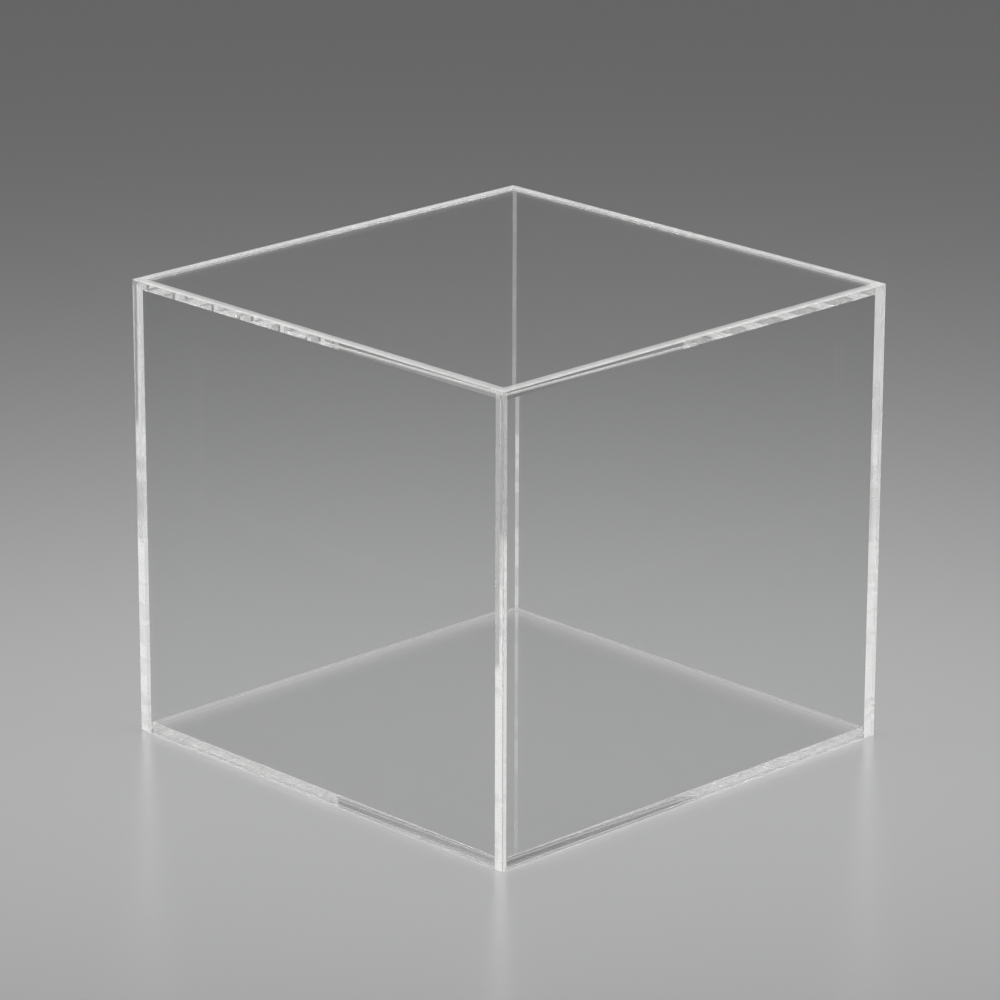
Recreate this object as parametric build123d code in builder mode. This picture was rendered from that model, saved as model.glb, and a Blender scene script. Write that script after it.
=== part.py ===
from build123d import *
import os

# Acrylic display cube: a cemented five-sided cover standing over a loose base panel.
# The origin is the centre of the underside, +Z is up, and the front wall faces -Y.

# Driving dimensions, in millimetres
clear_width = 250.0     # inside, wall to wall, along X and along Y
clear_height = 225.0    # inside, from the base panel up to the top panel
sheet = 5.0             # thickness of the acrylic sheet
cement = 0.1            # thickness of a cemented joint
base_gap = 0.25         # clearance all round the loose base panel
arris = 0.3             # flat on every sharp outer edge

# Sizes that follow from them
width = clear_width + 2 * sheet
height = clear_height + 2 * sheet
wall_offset = (clear_width + sheet) / 2         # centre plane of a wall
joint_offset = (clear_width - cement) / 2       # centre plane of a cemented joint
side_length = clear_width - 2 * cement          # a side wall, between its two joints
top_width = clear_width - 2 * cement            # the top panel, between its four joints
base_width = clear_width - 2 * base_gap         # the base panel, free inside the walls
top_level = height - sheet                      # underside of the top panel

os.makedirs("parts", exist_ok=True)


def write(part, name):
    """Label a finished piece and write it as a STEP file of the same name."""
    part.label = name
    export_step(part, f"parts/{name}.step")


# Outline of the finished cube: it takes the arris off every piece that reaches an outer edge
with BuildPart() as cube_outline:
    with BuildSketch(Plane.XY):
        Rectangle(width, width)
    extrude(amount=height)
    chamfer(cube_outline.edges(), length=arris)


# Front and back walls: full width, so the ends of their sheet show on the two sides
for name, side in (("front_wall", -1), ("back_wall", 1)):
    with BuildPart() as end_wall:
        with BuildSketch(Plane.XY):
            with Locations((0, side * wall_offset)):
                Rectangle(width, sheet)
        extrude(amount=height)
        add(cube_outline.part, mode=Mode.INTERSECT)
    write(end_wall.part, name)


# Left and right walls: they stand between the front and back walls
for name, side in (("left_wall", -1), ("right_wall", 1)):
    with BuildPart() as side_wall:
        with BuildSketch(Plane.XY):
            with Locations((side * wall_offset, 0)):
                Rectangle(sheet, side_length)
        extrude(amount=height)
        add(cube_outline.part, mode=Mode.INTERSECT)
    write(side_wall.part, name)


# Top panel: let in between the four walls, flush with their upper ends
with BuildPart() as top_panel:
    with BuildSketch(Plane.XY.offset(top_level)):
        Rectangle(top_width, top_width)
    extrude(amount=sheet)
write(top_panel.part, "top_panel")


# Base panel: lies loose inside the foot of the cover, its edges eased all round
with BuildPart() as base_panel:
    with BuildSketch(Plane.XY):
        Rectangle(base_width, base_width)
    extrude(amount=sheet)
    chamfer(base_panel.edges(), length=arris)
write(base_panel.part, "base_panel")


# Upright joints: a film of cement between each end of a side wall and the wall it meets
for end_name, end in (("front", -1), ("back", 1)):
    for side_name, side in (("left", -1), ("right", 1)):
        with BuildPart() as corner_joint:
            with BuildSketch(Plane.XY):
                with Locations((side * wall_offset, end * joint_offset)):
                    Rectangle(sheet, cement)
            extrude(amount=height)
            add(cube_outline.part, mode=Mode.INTERSECT)
        write(corner_joint.part, f"{end_name}_{side_name}_joint")


# Top joints along the front and back walls, over the whole clear width
for name, side in (("top_front_joint", -1), ("top_back_joint", 1)):
    with BuildPart() as long_joint:
        with BuildSketch(Plane.XY.offset(top_level)):
            with Locations((0, side * joint_offset)):
                Rectangle(clear_width, cement)
        extrude(amount=sheet)
    write(long_joint.part, name)


# Top joints along the left and right walls, between the other two
for name, side in (("top_left_joint", -1), ("top_right_joint", 1)):
    with BuildPart() as short_joint:
        with BuildSketch(Plane.XY.offset(top_level)):
            with Locations((side * joint_offset, 0)):
                Rectangle(cement, top_width)
        extrude(amount=sheet)
    write(short_joint.part, name)
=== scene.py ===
"""Acrylic display cube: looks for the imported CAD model, with its floor, lights and camera."""

import math

import bpy
from mathutils import Matrix, Vector


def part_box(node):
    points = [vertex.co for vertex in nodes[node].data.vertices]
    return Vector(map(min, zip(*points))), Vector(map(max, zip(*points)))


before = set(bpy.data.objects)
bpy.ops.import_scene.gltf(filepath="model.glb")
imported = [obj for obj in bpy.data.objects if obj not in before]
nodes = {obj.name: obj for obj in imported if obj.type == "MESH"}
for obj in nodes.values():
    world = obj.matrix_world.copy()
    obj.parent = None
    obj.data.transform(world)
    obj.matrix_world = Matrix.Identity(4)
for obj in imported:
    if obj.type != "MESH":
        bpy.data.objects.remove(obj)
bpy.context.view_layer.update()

# Sizes, read from the frame, in metres
low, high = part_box("front_wall")
half = high.x  # half of the outer width
height = high.z
sheet = high.y - low.y
inner = half - sheet  # inner face of a wall
ceiling = height - sheet  # underside of the top panel
hair = 0.00005  # tolerance of the face tests in the materials
centre = Vector((0.0, 0.0, height / 2))

SQUARE = 0.8  # a face counts as square to an axis if it looks along it by more than this; an arris doesn't


# ---------------------------------------------------------------- node graphs

EVEN = (1.0, 1.0, 1.0)  # a pattern that isn't stretched


class Graph:
    """A material's node tree, with short calls for the nodes it needs."""

    def __init__(self, name):
        self.material = bpy.data.materials.new(name)
        self.material.use_nodes = True
        self.tree = self.material.node_tree
        self.tree.nodes.clear()

    def new(self, kind, **settings):
        n = self.tree.nodes.new(kind)
        for key, value in settings.items():
            setattr(n, key, value)
        return n

    def put(self, socket, value):
        if isinstance(value, bpy.types.NodeSocket):
            self.tree.links.new(value, socket)
        else:
            socket.default_value = value

    def math(self, operation, a, b=0.0, clamp=False):
        n = self.new("ShaderNodeMath", operation=operation, use_clamp=clamp)
        self.put(n.inputs[0], a)
        self.put(n.inputs[1], b)
        return n.outputs[0]

    def above(self, a, limit):
        return self.math("GREATER_THAN", a, limit)

    def below(self, a, limit):
        return self.math("LESS_THAN", a, limit)

    def times(self, first, *others):
        """The product of two or more values, which for yes and no values is "and"."""
        product = first
        for other in others:
            product = self.math("MULTIPLY", product, other)
        return product

    def either(self, first, *others):
        """The largest of two or more values, which for yes and no values is "or"."""
        largest = first
        for other in others:
            largest = self.math("MAXIMUM", largest, other)
        return largest

    def ranged(self, value, start, end, at_start, at_end):
        """Goes from at_start to at_end as the value goes from start to end, and stays level outside."""
        n = self.new("ShaderNodeMapRange")
        for socket, v in zip(n.inputs, (value, start, end, at_start, at_end)):
            self.put(socket, v)
        return n.outputs[0]

    def split(self, vector):
        n = self.new("ShaderNodeSeparateXYZ")
        self.put(n.inputs[0], vector)
        return n.outputs

    def point(self):
        """The point in the frame's own coordinates."""
        return self.new("ShaderNodeTexCoord").outputs["Object"]

    def facing(self):
        """How squarely the face looks along x, y and z, from 0 to 1."""
        turned = self.new("ShaderNodeVectorMath", operation="ABSOLUTE")
        self.put(turned.inputs[0], self.new("ShaderNodeNewGeometry").outputs["True Normal"])
        return self.split(turned.outputs[0])

    def noise(self, point, stretch, scale, detail=2.0, roughness=0.5):
        scaled = self.new("ShaderNodeVectorMath", operation="MULTIPLY")
        self.put(scaled.inputs[0], point)
        self.put(scaled.inputs[1], stretch)
        n = self.new("ShaderNodeTexNoise")
        self.put(n.inputs["Vector"], scaled.outputs[0])
        self.put(n.inputs["Scale"], scale)
        self.put(n.inputs["Detail"], detail)
        self.put(n.inputs["Roughness"], roughness)
        return n.outputs["Fac"]

    def specks(self, point, cell, radius):
        """1 inside small round specks, about one to each cell, and 0 elsewhere."""
        n = self.new("ShaderNodeTexVoronoi")
        self.put(n.inputs["Vector"], point)
        self.put(n.inputs["Scale"], 1 / cell)
        return self.ranged(n.outputs["Distance"], radius / cell, 0.4 * radius / cell, 0.0, 1.0)

    def mix(self, factor, a, b):
        n = self.new("ShaderNodeMixShader")
        self.put(n.inputs[0], factor)
        self.put(n.inputs[1], a)
        self.put(n.inputs[2], b)
        return n.outputs[0]

    def clear(self, colour):
        n = self.new("ShaderNodeBsdfTransparent")
        n.inputs["Color"].default_value = (*colour, 1.0)
        return n.outputs[0]

    def milky(self):
        """Fine scattering, lit from both sides."""
        front = self.new("ShaderNodeBsdfDiffuse")
        front.inputs["Color"].default_value = (*MILK, 1.0)
        back = self.new("ShaderNodeBsdfTranslucent")
        back.inputs["Color"].default_value = (*MILK, 1.0)
        return self.mix(0.5, front.outputs[0], back.outputs[0])

    def glass(self, colour, roughness, mirror):
        n = self.new("ShaderNodeBsdfPrincipled")
        n.inputs["Base Color"].default_value = (*colour, 1.0)
        n.inputs["Transmission Weight"].default_value = 1.0
        n.inputs["IOR"].default_value = ACRYLIC_IOR
        n.inputs["Specular Tint"].default_value = (mirror, mirror, mirror, 1.0)
        self.put(n.inputs["Roughness"], roughness)
        return n.outputs[0]

    def output(self, surface):
        n = self.new("ShaderNodeOutputMaterial")
        self.put(n.inputs["Surface"], surface)
        return self.material

    def finish(self, surface, passed):
        """Lamp light and light scattered by the floor go straight through, as through thin sheet."""
        path = self.new("ShaderNodeLightPath")
        passing = self.either(path.outputs["Is Shadow Ray"], path.outputs["Is Diffuse Ray"])
        return self.output(self.mix(passing, surface, self.clear(passed)))


# ---------------------------------------------------------------- acrylic and cement

ACRYLIC_IOR = 1.49
NO_TINT = (1.0, 1.0, 1.0)
WALL_TINT = (0.933, 0.936, 0.935)
BASE_TINT = (0.975, 0.977, 0.976)
WALL_MIRROR = 0.2  # how much of its real reflection an outer surface keeps
BASE_MIRROR = 1.0

# Milk is a white scatter: 0 leaves a surface clear and 1 makes it opaque
MILK = (0.95, 0.95, 0.94)
LOWER_EDGE = 0.1  # the upright ends and joints are milkier below this height, in bands
UPPER_END_MILK, LOWER_END_MILK = 0.07, 0.95
BASE_END_MILK = 0.06
RIM_MILK = 0.38  # the upper ends of the walls
FOOT_SHARE = 0.1  # the feet of the walls are polished clearer than their other ends
# painted highlight: white scatter on the chamfered arrises draws bright lines along the edges
ARRIS_PAINTED_HIGHLIGHT = 0.5
DUST_MILK = 0.3
BUBBLE_MILK = 0.4
TOP_CEMENT_MILK = 0.03
UPPER_CEMENT_MILK, LOWER_CEMENT_MILK = 0.28, 0.96
THICK_CEMENT_MILK = 0.9
PAINTED_EDGE_GLOW = 0.27  # painted glow on the base's upper face, along its two far edges: white scatter standing in for light guided along the base
PAINTED_EDGE_GLOW_WIDTH = 0.02

# What is left of a lamp's light after a surface
PASSED_BY_SHEET = (0.991, 0.992, 0.991)
PASSED_BY_TOP_CEMENT = (0.9, 0.9, 0.9)
PASSED_BY_UPRIGHT_CEMENT = (0.85, 0.85, 0.85)


def banded(g, point, upper, lower):
    """An upright end's milk: upper above LOWER_EDGE and lower below it, in bands across the end."""
    z = g.split(point)[2]
    bands = g.ranged(g.noise(point, (3.0, 3.0, 80.0), 1.0, 1.0), 0.43, 0.5, 0.0, 1.0)
    lowness = g.ranged(z, LOWER_EDGE - 0.003, LOWER_EDGE + 0.003, 1.0, 0.0)
    faint = g.ranged(lowness, 0.0, 1.0, 0.93 * upper, 0.6 * lower)
    full = g.ranged(lowness, 0.0, 1.0, 1.03 * upper, lower)
    return g.ranged(bands, 0.0, 1.0, faint, full)


def acrylic(name, bonded=None, ends=None, end_milk=None, painted_glow=None, tint=WALL_TINT, mirror=WALL_MIRROR):
    """Clear sheet. Its surface vanishes where it is bonded, its sawn and polished ends are milky, and an
    optional painted glow stands in for light guided along it.
    """
    g = Graph(name)
    point = g.point()
    x, y, z = g.split(point)
    x, y = g.math("ABSOLUTE", x), g.math("ABSOLUTE", y)
    nx, ny, nz = g.facing()

    dust = g.times(g.specks(point, 0.03, 0.00022), DUST_MILK)
    handled = g.ranged(g.noise(point, EVEN, 14.0, 3.0), 0.0, 1.0, 0.0, 0.002)
    milk_and_painted_light = g.either(dust, handled)
    # the painted glow along the base's far edges joins the scatter here
    if painted_glow:
        milk_and_painted_light = g.either(milk_and_painted_light, painted_glow(g, point))
    roughness = 0.0

    if ends:
        # Polishing left faint marks across the thickness of the sheet, and broader patches along it
        marks = g.ranged(g.noise(point, EVEN, 900.0, 3.0, 0.6), 0.3, 0.7, 0.9, 1.08)
        patches = g.ranged(g.noise(point, (1.0, 1.0, 0.6), 60.0), 0.35, 0.65, 0.88, 1.08)
        rim = g.times(g.above(nz, SQUARE), g.above(z, height - sheet / 2))
        foot = g.times(g.above(nz, SQUARE), g.below(z, sheet / 2))
        arris = g.below(g.either(nx, ny, nz), SQUARE)
        cut_milk_and_arris_highlight = g.either(g.times(rim, RIM_MILK), end_milk(g, point))
        cut_milk_and_arris_highlight = g.times(cut_milk_and_arris_highlight, g.ranged(foot, 0.0, 1.0, 1.0, FOOT_SHARE))
        # the arrises get their painted highlight lines here
        cut_milk_and_arris_highlight = g.either(g.times(arris, ARRIS_PAINTED_HIGHLIGHT), cut_milk_and_arris_highlight)
        cut = ends(g, nx, ny, nz)
        milk_and_painted_light = g.either(g.times(cut, marks, patches, cut_milk_and_arris_highlight), milk_and_painted_light)
        roughness = g.times(cut, g.ranged(marks, 0.9, 1.08, 0.03, 0.06))

    surface = g.mix(milk_and_painted_light, g.glass(tint, roughness, mirror), g.milky())
    if bonded:
        surface = g.mix(bonded(g, x, y, z, nx, ny, nz), surface, g.clear(NO_TINT))
    return g.finish(surface, PASSED_BY_SHEET)


def end_wall_bonded(g, x, y, z, nx, ny, nz):
    inside = g.times(g.above(ny, SQUARE), g.below(y, inner + sheet / 2))
    return g.times(inside, g.either(g.above(x, inner - hair), g.above(z, ceiling - hair)))


def side_wall_bonded(g, x, y, z, nx, ny, nz):
    inside = g.times(g.above(nx, SQUARE), g.below(x, inner + sheet / 2))
    return g.either(g.above(ny, SQUARE), g.times(inside, g.above(z, ceiling - hair)))


def top_bonded(g, x, y, z, nx, ny, nz):
    return g.below(nz, SQUARE)


def end_wall_ends(g, nx, ny, nz):
    return g.below(ny, SQUARE)


def side_wall_ends(g, nx, ny, nz):
    return g.times(g.below(nx, SQUARE), g.below(ny, SQUARE))


def base_ends(g, nx, ny, nz):
    return g.below(nz, SQUARE)


def wall_end_milk(g, point):
    return banded(g, point, UPPER_END_MILK, LOWER_END_MILK)


def base_end_milk(g, point):
    return BASE_END_MILK


def base_painted_edge_glow(g, point):
    """Painted glow: white scatter on the base's upper face, fading inwards from its two far edges, standing
    in for light guided along the base.
    """
    x, y, z = g.split(point)
    near_edge = g.ranged(g.either(x, y), inner - PAINTED_EDGE_GLOW_WIDTH, inner, 0.0, 1.0)
    return g.times(g.above(z, sheet / 2), near_edge, near_edge, PAINTED_EDGE_GLOW)


def cement(name, upper, lower, passed):
    """Solvent cement: a thin film with fine bubbles, whiter in some stretches than in others."""
    g = Graph(name)
    point = g.point()
    stretches = g.ranged(g.noise(point, EVEN, 45.0), 0.3, 0.7, 0.86, 1.08)
    grain = g.ranged(g.noise(point, EVEN, 1400.0), 0.3, 0.7, 0.9, 1.1)
    bubbles = g.times(g.specks(point, 0.004, 0.00025), BUBBLE_MILK)
    amount = g.times(stretches, grain, banded(g, point, upper, lower))
    amount = g.math("ADD", amount, bubbles, clamp=True)
    return g.finish(g.mix(amount, g.clear(NO_TINT), g.milky()), passed)


def dress(node, material):
    mesh = nodes[node].data
    mesh.materials.clear()
    mesh.materials.append(material)


end_wall = acrylic("end_wall_acrylic", end_wall_bonded, end_wall_ends, wall_end_milk)
side_wall = acrylic("side_wall_acrylic", side_wall_bonded, side_wall_ends, wall_end_milk)
top = acrylic("top_acrylic", top_bonded)  # all four of its ends are bonded
base = acrylic("base_acrylic", None, base_ends, base_end_milk, base_painted_edge_glow, BASE_TINT, BASE_MIRROR)
upright_cement = cement("upright_cement", UPPER_CEMENT_MILK, LOWER_CEMENT_MILK, PASSED_BY_UPRIGHT_CEMENT)
thick_cement = cement("thick_cement", THICK_CEMENT_MILK, THICK_CEMENT_MILK, PASSED_BY_UPRIGHT_CEMENT)
top_cement = cement("top_cement", TOP_CEMENT_MILK, TOP_CEMENT_MILK, PASSED_BY_TOP_CEMENT)

for node in ("front_wall", "back_wall"):
    dress(node, end_wall)
for node in ("left_wall", "right_wall"):
    dress(node, side_wall)
dress("top_panel", top)
dress("base_panel", base)
for node in ("front_left_joint", "front_right_joint", "back_left_joint"):
    dress(node, upright_cement)
dress("back_right_joint", thick_cement)
for node in ("top_front_joint", "top_back_joint", "top_left_joint", "top_right_joint"):
    dress(node, top_cement)


# ---------------------------------------------------------------- camera

EYE = Vector((-1.67765, -1.71798, 0.91713))
YAW, PITCH, ROLL = (math.radians(a) for a in (45.7761, -18.3051, 0.1406))
LENS = 184.19
SENSOR = 36.0

forward = Vector((math.cos(PITCH) * math.cos(YAW), math.cos(PITCH) * math.sin(YAW), math.sin(PITCH)))
level_right = Vector((math.sin(YAW), -math.cos(YAW), 0.0))
level_up = level_right.cross(forward)
right = level_right * math.cos(ROLL) + level_up * math.sin(ROLL)
up = level_up * math.cos(ROLL) - level_right * math.sin(ROLL)

camera_data = bpy.data.cameras.new("camera")
camera_data.lens = LENS
camera_data.sensor_width = SENSOR
camera_data.clip_end = 100.0
camera = bpy.data.objects.new("camera", camera_data)
camera.matrix_world = Matrix.Translation(EYE) @ Matrix((right, up, -forward)).transposed().to_4x4()
bpy.context.collection.objects.link(camera)
bpy.context.scene.camera = camera


# ---------------------------------------------------------------- floor

FLOOR_RADIUS = 30.0
FLOOR_STEPS = 64
FLOOR_GREY = 0.475
FLOOR_IOR = 2.3
FLOOR_LEVEL = -0.0002  # a hair under the cube, so that its underside doesn't lie in the floor's own surface


def circle(radius, steps, level):
    angles = (math.tau * i / steps for i in range(steps))
    return [(radius * math.cos(a), radius * math.sin(a), level) for a in angles]


def stage_mesh(name, points, faces, material):
    mesh = bpy.data.meshes.new(name)
    mesh.from_pydata(points, [], faces)
    mesh.materials.append(material)
    obj = bpy.data.objects.new(name, mesh)
    bpy.context.collection.objects.link(obj)
    return obj


def floor_paint():
    g = Graph("floor_paint")
    paint = g.new("ShaderNodeBsdfPrincipled")
    paint.inputs["Base Color"].default_value = (FLOOR_GREY, FLOOR_GREY, FLOOR_GREY * 1.005, 1.0)
    paint.inputs["IOR"].default_value = FLOOR_IOR
    worn = g.noise(g.point(), EVEN, 3.0, 3.0)
    g.put(paint.inputs["Roughness"], g.ranged(worn, 0.0, 1.0, 0.22, 0.29))
    return g.output(paint.outputs[0])


floor_ring = circle(FLOOR_RADIUS, FLOOR_STEPS, FLOOR_LEVEL)
stage_mesh("floor", floor_ring, [tuple(range(FLOOR_STEPS))], floor_paint())


# ---------------------------------------------------------------- lamps

aim = Vector((math.cos(YAW), math.sin(YAW), 0.0))  # away from the camera
side = level_right


def softbox(name, place, target, width, depth, power, spread=180.0):
    """A rectangular lamp that looks from place to target, and isn't seen itself."""
    lamp = bpy.data.lights.new(name, "AREA")
    lamp.shape = "RECTANGLE"
    lamp.spread = math.radians(spread)
    lamp.size, lamp.size_y, lamp.energy = width, depth, power
    obj = bpy.data.objects.new(name, lamp)
    bpy.context.collection.objects.link(obj)
    facing = (place - target).normalized()
    across = side if abs(facing.dot(side)) < 0.7 else aim
    across = (across - facing * across.dot(facing)).normalized()
    turn = Matrix((across, facing.cross(across), facing)).transposed().to_4x4()
    obj.matrix_world = Matrix.Translation(place) @ turn
    obj.visible_glossy = False
    obj.visible_transmission = False
    return obj


under_overhead = aim * -0.04
overhead_place = Vector((0.0, 0.0, 0.88)) + under_overhead
softbox("overhead", overhead_place, under_overhead, width=1.1, depth=0.45, power=5.65, spread=138.0)

# The two side lamps light only the cube, so that the floor has one soft pool from overhead
cube_pieces = bpy.data.collections.new("cube_pieces")
for node in nodes.values():
    cube_pieces.objects.link(node)
between_side_lamps = Vector((0.0, 0.0, 0.08)) - aim * 0.15
for name, outwards in (("left", -side), ("right", side)):
    lamp = softbox(name, between_side_lamps + outwards * 0.85, centre, width=0.7, depth=0.3, power=7.0)
    lamp.light_linking.receiver_collection = cube_pieces


# ---------------------------------------------------------------- studio

# The studio as the polished edges carry it: bright to the left and right, dim behind and in front.
# Only light that has been reflected along inside a sheet meets it.
STUDIO_RADIUS = 0.3
STUDIO_HEIGHT = 0.9
STUDIO_STEPS = 96
GUIDED_DEPTH = 2.5  # light with more reflections than this has been guided by a sheet


def studio_glow():
    g = Graph("studio")
    point = g.point()
    across = g.new("ShaderNodeVectorMath", operation="DOT_PRODUCT")
    g.put(across.inputs[0], point)
    across.inputs[1].default_value = side
    # From -1 at the left, as the camera sees it, to 1 at the right
    sideways = g.math("DIVIDE", across.outputs["Value"], STUDIO_RADIUS)
    middle = g.ranged(sideways, -0.3, 0.3, 0.11, 0.31)
    beside = g.ranged(g.split(point)[2], 0.12, 0.18, 0.55, 0.38)
    outermost = 0.3
    sideways = g.math("ABSOLUTE", sideways)
    beside = g.ranged(sideways, 0.96, 0.975, beside, outermost)
    glow = g.new("ShaderNodeEmission")
    g.put(glow.inputs["Strength"], g.ranged(sideways, 0.81, 0.84, middle, beside))
    path = g.new("ShaderNodeLightPath")
    guided = g.times(g.above(path.outputs["Glossy Depth"], GUIDED_DEPTH), path.outputs["Is Transmission Ray"])
    material = g.output(g.mix(guided, g.clear(NO_TINT), glow.outputs[0]))
    material.cycles.emission_sampling = "NONE"
    return material


studio_rings = circle(STUDIO_RADIUS, STUDIO_STEPS, 0.0) + circle(STUDIO_RADIUS, STUDIO_STEPS, STUDIO_HEIGHT)
studio_faces = [
    (i, (i + 1) % STUDIO_STEPS, STUDIO_STEPS + (i + 1) % STUDIO_STEPS, STUDIO_STEPS + i)
    for i in range(STUDIO_STEPS)
]
studio = stage_mesh("studio", studio_rings, studio_faces, studio_glow())
studio.visible_camera = False
studio.visible_diffuse = False
studio.visible_glossy = False
studio.visible_shadow = False


# ---------------------------------------------------------------- world

HORIZON_GREY = 0.126
SKY_GREY = 0.21
SKY_RISE = 0.35  # how far up, as the sine of the angle, the grey of the sky is reached

world = bpy.data.worlds.new("world")
world.use_nodes = True
bpy.context.scene.world = world
sky = world.node_tree
split = sky.nodes.new("ShaderNodeSeparateXYZ")
sky.links.new(sky.nodes.new("ShaderNodeTexCoord").outputs["Generated"], split.inputs[0])
grey = sky.nodes.new("ShaderNodeMapRange")
sky.links.new(split.outputs[2], grey.inputs[0])
for socket, value in zip(grey.inputs[1:], (0.0, SKY_RISE, HORIZON_GREY, SKY_GREY)):
    socket.default_value = value
sky.links.new(grey.outputs[0], sky.nodes["Background"].inputs["Color"])

# Guided light is reflected dozens of times before it leaves a sheet
scene = bpy.context.scene
scene.view_settings.view_transform = "Standard"
scene.cycles.max_bounces = 64
scene.cycles.transmission_bounces = 64
scene.cycles.glossy_bounces = 64
scene.cycles.transparent_max_bounces = 48
scene.cycles.diffuse_bounces = 3
